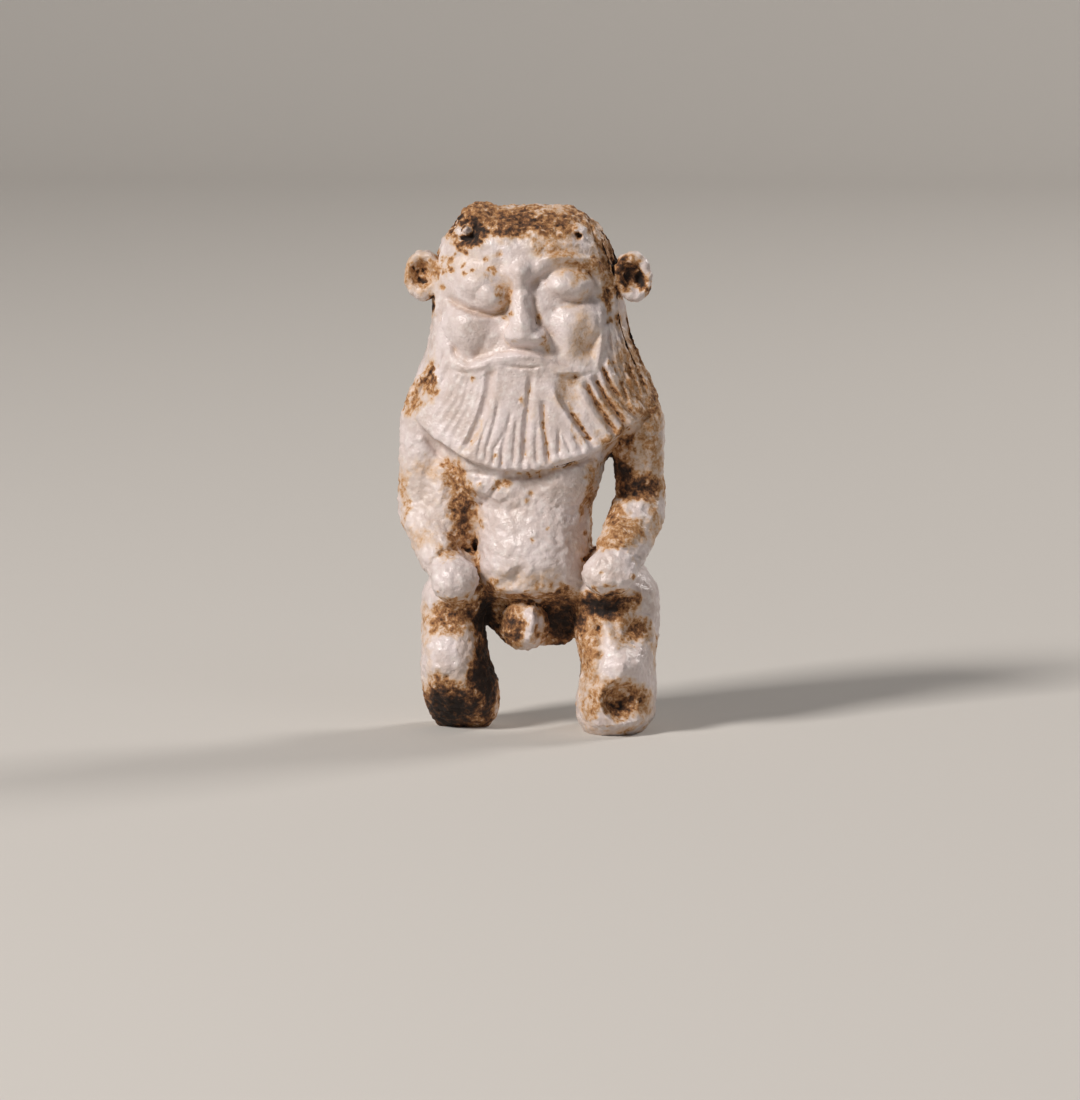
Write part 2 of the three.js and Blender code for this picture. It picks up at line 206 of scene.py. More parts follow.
# Brings the floor of a gap up to a smooth sheet laid over the surface around it, as the picture shows it
def fillGap(window):
    places = readPlaces(skin.data)
    seen, facing = inPicture(places, readNormals(skin.data))
    outward = np.array(camera.matrix_world.to_3x3())[:, 2]
    height = places @ outward
    front = places[:, 1] < -2
    share = inWindow(seen, *window, 2) * front
    around = inWindow(seen, window[0] - 6, window[1] - 5, window[2] + 6, window[3] + 5, 1) * front * (facing > 0.5)
    rim = np.flatnonzero((around > 0.5) & (share == 0))
    x, y = (seen - np.array(window[:2])).T
    terms = np.stack([np.ones(len(x)), x, y, x * x, x * y, y * y], 1)
    fit = terms @ np.linalg.lstsq(terms[rim], height[rim], rcond=None)[0]
    places += outward * (share * np.clip(fit - height, 0, None))[:, None]
    writePlaces(skin.data, places)


def makeSkin():
    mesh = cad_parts["amulet"].data.copy()
    made = bpy.data.objects.new("glazed_figure", mesh)
    bpy.context.scene.collection.objects.link(made)
    mesh.materials.clear()
    selectOnly(made)
    bpy.ops.object.mode_set(mode="EDIT")
    bpy.ops.mesh.select_all(action="SELECT")
    bpy.ops.mesh.remove_doubles(threshold=skinForm["weld"])
    bpy.ops.object.mode_set(mode="OBJECT")
    applyModifier(made, "REMESH", mode="VOXEL", voxel_size=skinForm["voxel"])
    return made


def wearSkin():
    places = readPlaces(skin.data)
    seen, facing = inPicture(places, readNormals(skin.data))
    crisp = np.max([inWindow(seen, *window) for window in crispWindows], axis=0) * smoothStep(facing, 0, 0.2)
    # The ears and the soles keep their edges too.
    ears = smoothStep(places[:, 2], 28.2, 28.8) * smoothStep(np.abs(places[:, 0] + 0.2), 6.6, 7.2)
    soles = smoothStep(-places[:, 2], -0.6, -0.15)
    worn = weighPoints(skin, "worn", 1 - np.maximum(np.maximum(crisp, ears), soles))
    applyModifier(skin, "SMOOTH", factor=0.5, iterations=skinForm["wornPasses"], vertex_group=worn)
    above = weighPoints(skin, "above", 1 - soles)
    applyModifier(skin, "SMOOTH", factor=0.5, iterations=skinForm["allPasses"], vertex_group=above)
    for window in filled:
        fillGap(window)
    gaps = np.max([inWindow(seen, *window, 6) for window in healed], axis=0)
    closed = weighPoints(skin, "closed", gaps * smoothStep(-places[:, 1], 2, 3))
    applyModifier(skin, "SMOOTH", factor=0.5, iterations=skinForm["healedPasses"], vertex_group=closed)
    belowLip = smoothStep(seen[:, 1] - np.interp(seen[:, 0], *np.transpose(beardTop)), 0, 8)
    aboveFoot = smoothStep(np.interp(seen[:, 0], *np.transpose(beardFoot)) - seen[:, 1], 2, 12)
    chest = smoothStep(facing, 0.05, 0.25) * smoothStep(-places[:, 1], 0, 1)
    beard = weighPoints(skin, "beard", belowLip * aboveFoot * chest)
    applyModifier(skin, "SMOOTH", factor=0.5, iterations=skinForm["beardPasses"], vertex_group=beard)


skin = makeSkin()
print("skin remeshed:", len(skin.data.vertices), "points")
nudgeSkin()
wearSkin()
print("skin worn")

# 2. Carving. A stroke is (width in pixels, depth in mm, its points); a negative depth raises a ridge.
beardStrokes = [
    (11, 0.42, [(492, 366), (490, 380), (488, 395), (483, 412), (477, 427), (471, 440), (463, 453)]),
    (8, 0.3, [(531, 374), (530, 385), (529, 400), (527, 412), (526, 425), (525, 440), (524, 466)]),
    (7, 0.3, [(543, 400), (544, 428), (546, 437), (549, 466)]),
    (5, 0.2, [(559, 428), (559, 455)]),
    (6, -0.22, [(550, 388), (560, 405), (571, 423), (582, 438), (593, 451)]),
    (7, 0.32, [(560, 392), (568, 408), (580, 426), (592, 444)]),
    (6, -0.14, [(576, 386), (588, 406), (600, 424), (612, 439)]),
    (7, 0.4, [(584, 380), (596, 403), (606, 418), (617, 435)]),
    (7, 0.4, [(593, 374), (604, 396), (616, 412), (631, 431)]),
    (7, 0.4, [(600, 362), (612, 388), (627, 408), (641, 422)]),
    (7, 0.4, [(606, 347), (618, 373), (636, 396), (650, 409)]),
    (5, 0.16, [(512, 410), (508, 425), (503, 445), (501, 468)]),
    (5, 0.16, [(517, 420), (515, 440), (513, 466)]),
    (4, 0.14, [(499, 400), (494, 425), (487, 447), (485, 466)]),
    (4, 0.14, [(489, 418), (481, 440), (477, 462)]),
    (4, 0.14, [(506, 430), (494, 450), (493, 467)]),
    (5, 0.16, [(537, 425), (536, 445), (537, 466)]),
    (4, 0.14, [(561, 432), (572, 454)]),
    (4, 0.14, [(574, 436), (583, 452)]),
    (4, 0.18, [(444, 350), (443, 360), (438, 372)]),
    (5, 0.22, [(436, 365), (428, 380), (420, 392)]),
    (4, 0.18, [(432, 378), (420, 395), (412, 404)]),
    (4, 0.15, [(424, 388), (410, 406)]),
    (4, 0.1, [(425, 430), (438, 447)]),
    (9, 0.24, [(598, 455), (580, 461), (560, 465), (548, 470), (540, 473), (520, 475), (505, 476), (498, 480)]),
    (7, 0.16, [(500, 478), (484, 473), (468, 472), (454, 468), (440, 456), (428, 440), (418, 424)]),
    (7, 0.2, [(598, 455), (619, 443), (632, 432), (642, 420), (652, 410)]),
]

# Fans of locks: (how many, first root, last root, first tip, last tip, sideways sag, width, depth)
fans = [
    (7, (482, 380), (450, 362), (456, 448), (422, 410), 5, 5, 0.08),
    (6, (606, 316), (626, 306), (630, 410), (660, 388), -4, 6, 0.36),
    (4, (590, 226), (606, 222), (607, 282), (616, 266), 2, 6, 0.35),
]

faceStrokes = [
    (6, 0.12, [(436, 278), (443, 270), (450, 263), (458, 257), (468, 253)]),
    (9, 0.42, [(446, 296), (456, 303), (467, 309), (480, 313), (493, 314), (503, 310), (508, 302)]),
    (8, 0.12, [(506, 291), (516, 290), (527, 291)]),
    (6, -0.12, [(533, 262), (545, 257), (557, 256), (570, 256), (583, 262), (595, 272), (606, 286)]),
    (12, 0.12, [(536, 288), (538, 276), (546, 268), (558, 266), (572, 268), (584, 275)]),
    (9, 0.16, [(551, 310), (560, 311), (570, 308), (583, 303)]),
    (10, 0.22, [(440, 306), (446, 323), (452, 340), (459, 354), (467, 361), (475, 357)]),
    (12, 0.12, [(467, 361), (475, 357), (483, 345), (490, 332), (499, 321), (508, 315)]),
    (13, 0.26, [(531, 292), (533, 310), (538, 326), (549, 337)]),
    (9, 0.14, [(571, 367), (585, 367), (598, 362)]),
    (6, -0.12, [(601, 303), (602, 330), (600, 350), (597, 366)]),
    (7, 0.18, [(608, 300), (609, 330), (607, 350), (603, 368)]),
    (4, 0.12, [(503, 366), (515, 367), (530, 368), (543, 366)]),
    (12, -0.14, [(478, 362), (490, 358), (503, 358), (520, 354), (538, 355), (556, 361), (575, 365)]),
    (6, 0.12, [(545, 368), (555, 375), (567, 377), (583, 376), (598, 371)]),
    (6, 0.12, [(495, 366), (482, 371), (466, 373), (451, 369)]),
]

bodyStrokes = [
    (7, 0.22, [(504, 479), (497, 487), (490, 495), (479, 507)]),
    (6, 0.2, [(428, 571), (434, 560), (442, 553), (452, 549), (462, 548), (473, 554)]),
    (6, 0.2, [(584, 562), (591, 553), (603, 548), (620, 549), (636, 553), (644, 562)]),
    (4, 0.03, [(498, 520), (515, 509), (528, 503)]),
    (4, 0.03, [(510, 540), (528, 524), (545, 516)]),
    (8, 0.24, [(600, 500), (622, 494), (645, 490), (660, 492)]),
    (12, -0.3, [(602, 618), (610, 636), (616, 654)]),
    (8, -0.2, [(598, 690), (604, 712), (616, 724), (636, 725), (650, 712)]),
    (8, 0.3, [(640, 590), (628, 594), (616, 598), (604, 592)]),
    (12, -0.2, [(588, 572), (600, 583), (624, 584), (641, 572)]),
    (5, -0.12, [(533, 605), (532, 622), (530, 641)]),
    (8, 0.3, [(606, 612), (622, 605), (634, 598)]),
    (6, 0.22, [(596, 622), (602, 645), (600, 668), (594, 690)]),
]

# Hollows and lumps: (centre, half sizes in pixels, turn in degrees, depth in mm); a negative depth raises a lump.
hollows = [
    ((570, 397), (14, 26), -20, 0.3),
    ((477, 287), (38, 25), 18, -0.62),
    ((490, 296), (21, 18), 10, -1.15),
    ((456, 276), (24, 20), 0, -0.35),
    ((501, 264), (9, 9), 0, 0.2),
    ((489, 336), (9, 20), 25, -0.25),
    ((534, 281), (9, 17), 12, 0.34),
    ((578, 277), (12, 7), 25, 0.12),
    ((592, 296), (14, 8), 15, 0.2),
    ((585, 341), (17, 24), 0, 0.34),
    ((518, 276), (13, 14), 0, -0.42),
    ((556, 291), (16, 15), 0, -0.22),
    ((465, 231), (9, 8), 0, -0.25),
    ((580, 236), (4, 4), 0, 0.35),
    ((462, 322), (14, 15), 0, -0.12),
    ((543, 339), (8, 8), 0, -0.12),
    ((452, 269), (4, 5), 0, 0.2),
    ((424, 271), (4, 4), 0, 0.3),
    ((413, 268), (3, 3), 0, 0.2),
    ((426, 282), (9, 3), 0, 0.2),
    ((622, 275), (9, 14), 0, 0.2),
    ((640, 279), (7, 9), 0, 0.3),
    ((633, 263), (6, 5), 0, -0.15),
    ((500, 255), (3, 5), 0, 0.2),
    ((443, 288), (4, 4), 0, 0.15),
    ((518, 401), (3, 3), 0, 0.15),
    ((522, 406), (3, 3), 0, 0.15),
    ((604, 415), (3, 3), 0, 0.15),
    ((627, 370), (3, 4), 0, 0.2),
    ((637, 386), (3, 4), 0, 0.2),
    ((627, 443), (5, 8), 0, 0.35),
    ((446, 677), (3, 3), 0, 0.2),
    ((438, 688), (3, 3), 0, 0.2),
    ((450, 692), (3, 3), 0, 0.2),
    ((450, 704), (24, 18), 0, 0.15),
    ((444, 656), (22, 28), 0, -0.15),
    ((622, 703), (4, 4), 0, 0.35),
    ((622, 693), (6, 5), 0, -0.25),
    ((625, 701), (25, 23), 0, 0.95),
    ((636, 634), (17, 22), 0, 0.45),
    ((628, 664), (22, 15), 0, -0.4),
    ((594, 650), (12, 26), 0, -0.12),
    ((536, 614), (3, 3), 0, 0.15),
    ((531, 637), (3, 3), 0, 0.15),
    ((474, 490), (12, 10), 0, -0.2),
    ((458, 508), (15, 44), -18, 0.25),
    ((621, 530), (20, 20), 0, -0.15),
    ((515, 577), (18, 9), -40, 0.45),
    ((545, 578), (26, 12), 0, 0.12),
]

# Round pits left by burst bubbles in the glaze: places and radius in pixels
bubbles = [
    (499, 254, 3.4), (485, 259, 2.6), (467, 253, 1.8), (451, 270, 3.2), (442, 287, 3.4), (464, 273, 1.8),
    (473, 270, 1.5), (539, 317, 1.8), (511, 314, 1.5), (548, 350, 1.8), (505, 318, 2), (532, 540, 1.8),
    (530, 492, 1.8), (527, 500, 1.5), (587, 498, 2.2), (583, 560, 2), (622, 382, 3), (638, 396, 3), (473, 379, 2),
    (633, 577, 2.2), (610, 295, 4), (607, 289, 3), (611, 320, 3), (618, 318, 3), (442, 465, 3), (585, 533, 2.4),
    (590, 540, 2), (548, 528, 1.8), (495, 455, 1.8), (601, 573, 1.8), (580, 236, 2.6), (576, 228, 1.5),
]


# Distance of points from a stroke, and the share of its length where each one lies
def alongStroke(seen, line):
    line = np.array(line, float)
    steps = np.linalg.norm(np.diff(line, axis=0), axis=1)
    starts = np.concatenate([[0], np.cumsum(steps)[:-1]])
    nearest = np.full(len(seen), 1e9)
    share = np.zeros(len(seen))
    for start, end, length, before in zip(line[:-1], line[1:], steps, starts):
        along = np.clip((seen - start) @ (end - start) / length**2, 0, 1)
        gap = np.linalg.norm(seen - start - along[:, None] * (end - start), axis=1)
        closer = gap < nearest
        nearest = np.where(closer, gap, nearest)
        share = np.where(closer, (before + along * length) / steps.sum(), share)
    return nearest, share


def fanStrokes():
    strokes = []
    for count, firstRoot, lastRoot, firstTip, lastTip, sag, width, depth in fans:
        for lock in np.linspace(0, 1, count):
            root = np.array(firstRoot) * (1 - lock) + np.array(lastRoot) * lock
            tip = np.array(firstTip) * (1 - lock) + np.array(lastTip) * lock
            strokes.append((width, depth, [root, (root + tip) / 2 + (sag, 0), tip]))
    return strokes


# How far from 0 to 1 a stroke or a hollow works on each point of the picture
def strokeShare(seen, width, line, taperLow=-0.06, taperHigh=0.14):
    gap, share = alongStroke(seen, line)
    profile = np.clip(1 - (gap / (width * 0.62)) ** 2, 0, 1) ** 1.5
    return profile * smoothStep(np.minimum(share, 1 - share), taperLow, taperHigh)


def hollowShare(seen, centre, halves, turn=0):
    angle = math.radians(turn)
    axes = np.array([[math.cos(angle), -math.sin(angle)], [math.sin(angle), math.cos(angle)]])
    offset = (seen - np.array(centre)) @ axes / np.array(halves)
    return np.clip(1 - np.sum(offset**2, axis=1), 0, 1) ** 1.3


def carveSkin(strokes):
    places = readPlaces(skin.data)
    normals = readNormals(skin.data)
    seen, facing = inPicture(places, normals)
    ahead = np.flatnonzero((facing > 0.05) & (places[:, 1] < 1.5))
    view, hold = seen[ahead], smoothStep(facing[ahead], 0.05, 0.3)
    cut = np.zeros(len(ahead))
    raised = np.zeros(len(ahead))

    def work(near, depth, share):
        target = cut if depth > 0 else raised
        target[near] = np.maximum(target[near], abs(depth) * share * hold[near])

    for width, depth, line in strokes:
        low, high = np.min(line, axis=0) - width, np.max(line, axis=0) + width
        near = np.flatnonzero(np.all((view > low) & (view < high), axis=1))
        work(near, depth, strokeShare(view[near], width, line))
    for centre, halves, turn, depth in hollows + [((x, y), (r, r), 0, 0.05 * r) for x, y, r in bubbles]:
        near = np.flatnonzero(np.all(np.abs(view - centre) < max(halves) + 1, axis=1))
        work(near, depth, hollowShare(view[near], centre, halves, turn))
    outward = np.array(camera.matrix_world.to_3x3())[:, 2]
    places[ahead] += outward * (raised - cut)[:, None]
    writePlaces(skin.data, places)


carving = beardStrokes + faceStrokes + bodyStrokes + fanStrokes()
carveSkin(carving)
applyModifier(skin, "SMOOTH", factor=0.5, iterations=skinForm["carvedPasses"], vertex_group="above")
print("carved:", len(carving), "strokes and", len(hollows) + len(bubbles), "hollows")

# 3. Soil and ochre, and painted shade in recesses, under overhangs and on sides turned from the light: (centre, half
#    sizes in pixels, strength); strength 1 is caked dark, 0.4 a tan stain
soilAndShadeSpots = [
    ((520, 222), (46, 17), 0.68),
    ((505, 232), (22, 6), 0.75),
    ((484, 212), (26, 13), 0.56),
    ((572, 224), (30, 18), 0.56),
    ((556, 250), (26, 11), 0.36),
    ((588, 264), (24, 9), 0.46),
    ((606, 256), (10, 28), 0.5),
    ((468, 235), (15, 13), 0.8),
    ((420, 272), (18, 20), 0.42),
    ((438, 265), (6, 10), 0.45),
    ((476, 264), (30, 13), 0.14),
    ((432, 304), (6, 10), 0.9),
    ((624, 274), (11, 18), 0.85),
    ((640, 279), (9, 11), 0.95),
    ((634, 262), (10, 8), 0.4),
    ((609, 296), (6, 12), 0.75),
    # soil and painted shade on the left eyelid's right end, which turns from the light
    ((501, 293), (7, 14), 0.38),
    ((584, 297), (8, 5), 0.25),
    ((579, 277), (9, 4), 0.36),
    # painted shade on the right nostril wing
    ((546, 338), (5, 8), 0.34),
    ((513, 342), (5, 4), 0.2),
    ((490, 272), (5, 4), 0.42),
    ((500, 308), (10, 5), 0.25),
    # painted shade: a grey-brown tint on the right cheek's plane, which turns from the light
    ((586, 352), (12, 12), 0.26),
    ((584, 336), (16, 26), 0.24),
    ((568, 390), (12, 18), 0.28),
    ((640, 350), (22, 52), 0.42),
    ((652, 398), (14, 20), 0.55),
    ((622, 400), (26, 22), 0.32),
    ((606, 442), (14, 10), 0.34),
    ((626, 440), (8, 12), 0.62),
    ((431, 382), (6, 22), 0.5),
    ((412, 402), (8, 14), 0.45),
    ((426, 470), (16, 14), 0.22),
    ((452, 480), (15, 20), 0.5),
    ((462, 515), (14, 34), 0.74),
    ((402, 500), (7, 34), 0.36),
    ((422, 536), (16, 16), 0.24),
    ((455, 547), (22, 7), 0.42),
    ((500, 484), (7, 7), 0.5),
    # painted shade in the gap by the right arm, and a painted shadow along the elbow crease
    ((620, 468), (14, 16), 0.9),
    ((636, 486), (26, 12), 0.85),
    ((650, 440), (16, 36), 0.36),
    # soil and painted shade in the recess between the belly and the right arm
    ((594, 505), (7, 42), 0.45),
    ((612, 512), (12, 14), 0.55),
    ((624, 532), (24, 20), 0.42),
    ((655, 510), (9, 36), 0.36),
    ((612, 548), (26, 7), 0.5),
    # painted shadow under the belly's overhang and in the navel, with some soil
    ((490, 592), (12, 12), 0.7),
    ((560, 592), (22, 9), 0.6),
    ((522, 598), (26, 6), 0.55),
    ((512, 580), (14, 9), 0.2),
    ((540, 583), (30, 9), 0.24),
    # soil and painted shade on the loins, and painted shade in the deep recesses on either side of them
    ((512, 628), (15, 24), 0.7),
    ((562, 622), (22, 28), 0.95),
    ((486, 625), (12, 34), 1.1),
    # a painted shadow under the left fist, soil on the thigh, and painted shade in the recess on the leg's inner side
    ((452, 606), (24, 7), 0.55),
    ((448, 620), (26, 14), 0.56),
    ((470, 614), (10, 18), 0.7),
    ((430, 645), (7, 34), 0.32),
    ((446, 655), (25, 40), 0.17),
    ((632, 655), (22, 38), 0.15),
    ((424, 525), (26, 60), 0.11),
    ((648, 460), (18, 60), 0.14),
    # dark soil and painted shade on the left foot, and painted shade on the left leg's inner side
    ((450, 708), (30, 25), 1.1),
    ((486, 680), (14, 50), 1.1),
    # soil and a painted shadow under the right fist, these two spots
    ((604, 606), (26, 16), 1.1),
    ((628, 606), (14, 8), 0.7),
    ((590, 652), (14, 42), 0.4),
    ((636, 634), (17, 17), 0.6),
    ((652, 652), (8, 20), 0.35),
    ((592, 706), (12, 26), 0.42),
    # painted shade in the hollow of the right foot, darkest in its hole
    ((625, 701), (23, 20), 0.62),
    ((622, 704), (7, 6), 0.95),
    ((628, 728), (30, 6), 0.42),
]

# Brown that lies along carved lines: (width in pixels, strength, points)
soilLines = [
    (6, 0.2, [(484, 412), (474, 437), (463, 455)]),
    (5, 0.16, [(530, 385), (529, 400), (527, 420)]),
    (5, 0.45, [(518, 400), (523, 408)]),
    (5, 0.14, [(544, 405), (544, 428), (547, 440)]),
    (6, 0.26, [(560, 400), (570, 420), (584, 445)]),
    (6, 0.24, [(590, 394), (606, 418), (616, 434)]),
    (5, 0.3, [(596, 380), (612, 406), (630, 430)]),
    (5, 0.34, [(608, 380), (628, 408), (640, 420)]),
    (5, 0.36, [(610, 358), (634, 393), (648, 406)]),
    (5, 0.45, [(436, 277), (450, 263), (468, 253)]),
    (5, 0.2, [(551, 309), (568, 307), (588, 301)]),
    (7, 0.6, [(438, 362), (430, 378), (418, 394)]),
    (5, 0.14, [(598, 455), (560, 465), (540, 473), (505, 476)]),
    (5, 0.3, [(428, 571), (434, 560), (446, 552), (462, 548), (473, 554)]),
    (5, 0.3, [(584, 562), (593, 552), (620, 549), (644, 562)]),
    (6, 0.4, [(503, 480), (497, 487), (490, 494)]),
    (8, 0.8, [(606, 614), (622, 607), (634, 600)]),
    (6, 0.45, [(436, 592), (444, 602), (458, 604), (470, 600)]),
    (8, 1.0, [(456, 240), (455, 228), (468, 220), (481, 226), (479, 240), (466, 247), (456, 240)]),
    (6, 0.35, [(473, 470), (474, 500), (476, 530), (474, 556)]),
]

cleanSpots = [
    ((465, 232), (7, 6), 1.0),
    ((581, 234), (9, 9), 0.45),
    ((532, 620), (4, 16), 0.3),
    ((440, 650), (13, 18), 0.25),
    ((453, 580), (20, 19), 0.5),
    ((611, 574), (26, 18), 0.5),
    ((630, 660), (17, 14), 0.5),
    ((622, 692), (5, 4), 0.35),
    ((622, 724), (28, 5), 0.3),
    ((651, 590), (9, 40), 0.3),
    ((586, 452), (10, 8), 0.3),
    ((636, 514), (6, 5), 0.35),
    ((648, 268), (5, 14), 0.35),
    ((630, 300), (8, 6), 0.35),
]

soilForm = {
    "wander": 10,  # pixels that a stain's edge strays
    "wanderSize": 1.3,  # mm between its turns
    "frayShare": 0.7,  # the same for its fringe, as a share of wander
    "fraySize": 0.35,
    "lineSpread": 1.4,  # times a line's own width
    "dotFray": 2,  # pixels that the ring round a bubble strays
    "dotRing": 1.8,  # pixels that it is wider than the bubble
    "dotStrength": 0.52,
    "cloudBase": 0.2,  # soil on the back, which the picture doesn't show
    "clouds": [(4, 0.4), (1.2, 0.4)],  # mm between its clouds, and their strength
    "faceWindow": (440, 250, 600, 378),  # where less soil and painted shade are laid in the hollows
    "beardWindow": (440, 372, 600, 462),  # where the painted shade in the hollows is halved
    "reach": 1.6,  # mm that the search for walls around a point reaches
    "rays": 14,
}


def spotShare(seen, centre, halves):
    away = np.sum(((seen - np.array(centre)) / np.array(halves)) ** 2, axis=1)
    return np.exp(-(away**1.3) * 0.75)


# Soil, ochre and painted shade from the spot and line tables on the front, and soil clouds on the back
def placedSoilAndShade(places, normals):
    still, facing = inPicture(places, normals)
    stray = [noiseAt(places, soilForm["wanderSize"], seed) for seed in (11, 12)]
    seen = still + np.stack(stray, 1) * soilForm["wander"]
    frayed = np.stack([noiseAt(places, soilForm["fraySize"], seed) for seed in (15, 16)], 1)
    seen += frayed * soilForm["wander"] * soilForm["frayShare"]
    frayedDots = still + frayed * soilForm["dotFray"]
    ahead = smoothStep(facing, -0.25, 0.2) * smoothStep(-places[:, 1], -3.5, -1.5)
    stainsAndShade = np.zeros(len(places))
    for centre, halves, strength in soilAndShadeSpots:
        stainsAndShade = np.maximum(stainsAndShade, strength * spotShare(seen, centre, halves))
    dots = np.zeros(len(places))
    for x, y, radius in bubbles:
        ring = radius + soilForm["dotRing"]
        dots = np.maximum(dots, soilForm["dotStrength"] * hollowShare(frayedDots, (x, y), (ring, ring)))
    for width, strength, line in soilLines:
        stainsAndShade = np.maximum(stainsAndShade, strength * strokeShare(seen, width * soilForm["lineSpread"], line))
    for centre, halves, strength in cleanSpots:
        stainsAndShade = stainsAndShade - strength * spotShare(seen, centre, halves)
    stainsAndShade = np.maximum(stainsAndShade, dots)
    clouds = soilForm["cloudBase"]
    for seed, (size, strength) in enumerate(soilForm["clouds"]):
        clouds = clouds + strength * noiseAt(places, size, 13 + seed)
    topBreak = smoothStep(places[:, 2], 33.4, 34.8) * 0.35
    return np.clip(stainsAndShade, 0, 1.2) * ahead + np.clip(clouds + topBreak, 0, 0.9) * (1 - ahead)


# 4. The rough glaze over the carving: rougher where soil and painted shade are laid, and on the broken crown
grainForm = {
    "lump": (1.1, 0.08),  # mm between soft lumps of the paste, and their rise
    "wrinkle": (0.45, 0.09),
    "crumb": (0.26, 0.06),
}


# Windows of the picture where the glaze is smoother: the face and the beard
smoothWindows = [(430, 245, 615, 378, 12), (415, 372, 655, 470, 14)]


def roughenSkin():
    places = readPlaces(skin.data)
    normals = readNormals(skin.data)
    seen, facing = inPicture(places, normals)
    soil = placedSoilAndShade(places, normals)
    smoother = np.max([inWindow(seen, *window) for window in smoothWindows], axis=0) * smoothStep(facing, 0, 0.2)
    broken = smoothStep(places[:, 2], 33.4, 34.4)
    soles = smoothStep(places[:, 2], 0.15, 0.6)
    rise = np.zeros(len(places))
    for seed, (size, height) in enumerate(grainForm.values()):
        rise += height * noiseAt(places, size, 21 + seed)
    rise *= soles * (1 - 0.6 * smoother) * (1 + 0.2 * np.clip(soil, 0, 1) + 0.5 * broken)
    writePlaces(skin.data, places + normals * rise[:, None])


roughenSkin()
print("glaze roughened")
applyModifier(skin, "DECIMATE", ratio=skinForm["faces"] / (2 * len(skin.data.polygons)), use_collapse_triangulate=True)
selectOnly(skin)
bpy.ops.object.shade_smooth()
skin.vertex_groups.clear()
print("skin thinned to", len(skin.data.polygons), "faces")


# The share of the sky that near walls hide from a point: painted shade and soil lie where this is high
def shelterOf(places, normals):
    corners = np.empty(len(skin.data.loops), np.int32)
    skin.data.loops.foreach_get("vertex_index", corners)
    tree = BVHTree.FromPolygons(places.tolist(), corners.reshape(-1, 3).tolist())
    rays, reach = soilForm["rays"], soilForm["reach"]
    heights = 1 - (np.arange(rays) + 0.5) / rays
    rings = np.sqrt(1 - heights**2)
    turns = math.pi * (3 - math.sqrt(5)) * np.arange(rays)
    dome = np.stack([rings * np.cos(turns), rings * np.sin(turns), heights], 1)
    side = np.cross(normals, np.where(np.abs(normals[:, 2:]) < 0.9, [[0.0, 0.0, 1.0]], [[1.0, 0.0, 0.0]]))
    side /= np.linalg.norm(side, axis=1, keepdims=True)
    other = np.cross(normals, side)
    blocked = np.zeros(len(places))
    starts = (places + normals * 0.03).tolist()
    for ray in dome:
        ways = (side * ray[0] + other * ray[1] + normals * ray[2]).tolist()
        hits = [tree.ray_cast(start, way, reach)[3] for start, way in zip(starts, ways)]
        blocked += [0 if hit is None else 1 - hit / reach for hit in hits]
    return blocked / rays


def addAttribute(name, values):
    made = skin.data.attributes.new(name, "FLOAT", "POINT")
    made.data.foreach_set("value", values.astype(np.float32))


def soilSkin():
    places = readPlaces(skin.data)
    normals = readNormals(skin.data)
    shelter = smoothStep(shelterOf(places, normals), 0.05, 0.6)
    seen, facing = inPicture(places, normals)
    behind = 1 - smoothStep(facing, -0.25, 0.2)
    inFace = inWindow(seen, *soilForm["faceWindow"])
    # The shelter attribute tints the glaze with painted shade in the hollows, half as much in the beard.
    addAttribute("shelter", shelter * (1 - 0.5 * inWindow(seen, *soilForm["beardWindow"])))
    # Deep hollows get soil colour, as caked dirt and as painted shade; the face gets less.
    caughtSoilAndShade = (0.6 - 0.4 * inFace) * smoothStep(shelter, 0.55, 1) + 0.45 * behind * smoothStep(shelter, 0.1, 0.7)
    addAttribute("soil", np.clip(placedSoilAndShade(places, normals) + caughtSoilAndShade, 0, 1.3))


soilSkin()
print("soil laid in the hollows")


# 5. Glazed composition, moulded and fired: a cream glaze over a pale paste, glossy where it is clean,
# with pinholes, tan ochre stains, matt brown soil caked in the hollows, and painted shade in the hollows and recesses.
def linear(colour):
    channels = [int(colour[i:i + 2], 16) / 255 for i in (1, 3, 5)]
    return (*[c / 12.92 if c <= 0.04045 else ((c + 0.055) / 1.055) ** 2.4 for c in channels], 1)


def addNode(tree, kind, settings=None, inputs=None):
    node = tree.nodes.new(kind)
    for name, value in (settings or {}).items():
        setattr(node, name, value)
    for name, value in (inputs or {}).items():
        if isinstance(value, bpy.types.NodeSocket):
            tree.links.new(value, node.inputs[name])
        else:
            node.inputs[name].default_value = value
    return node


glazeLook = {
    "cream": "#dfd2d0",
    "shade": "#c9b8b0",
    "milk": "#ebe4df",  # thick drops of glaze
    "hollow": "#ad8b6d",  # painted shade: the tan that the glaze takes where near walls hide the sky
    # how much soil and painted shade a point has, and its colour there
    "soil": [
        (0.06, "#d9c6b2"), (0.22, "#cba67c"), (0.4, "#ae7f50"), (0.56, "#835835"), (0.74, "#53351f"), (1.0, "#20130b"),
    ],
    "gloss": 0.36,  # roughness of clean glaze
    "matt": 0.85,  # roughness of caked soil
    "ior": 1.52,
    "clouds": 2.6 * mm,  # between light and dark of the glaze
    "speck": 0.42 * mm,  # between grains of soil
    "dust": 0.16 * mm,  # coarser than real dust, so that it shows
    "pinhole": 0.8 * mm,  # between pinholes
    "relief": 0.1 * mm,
}


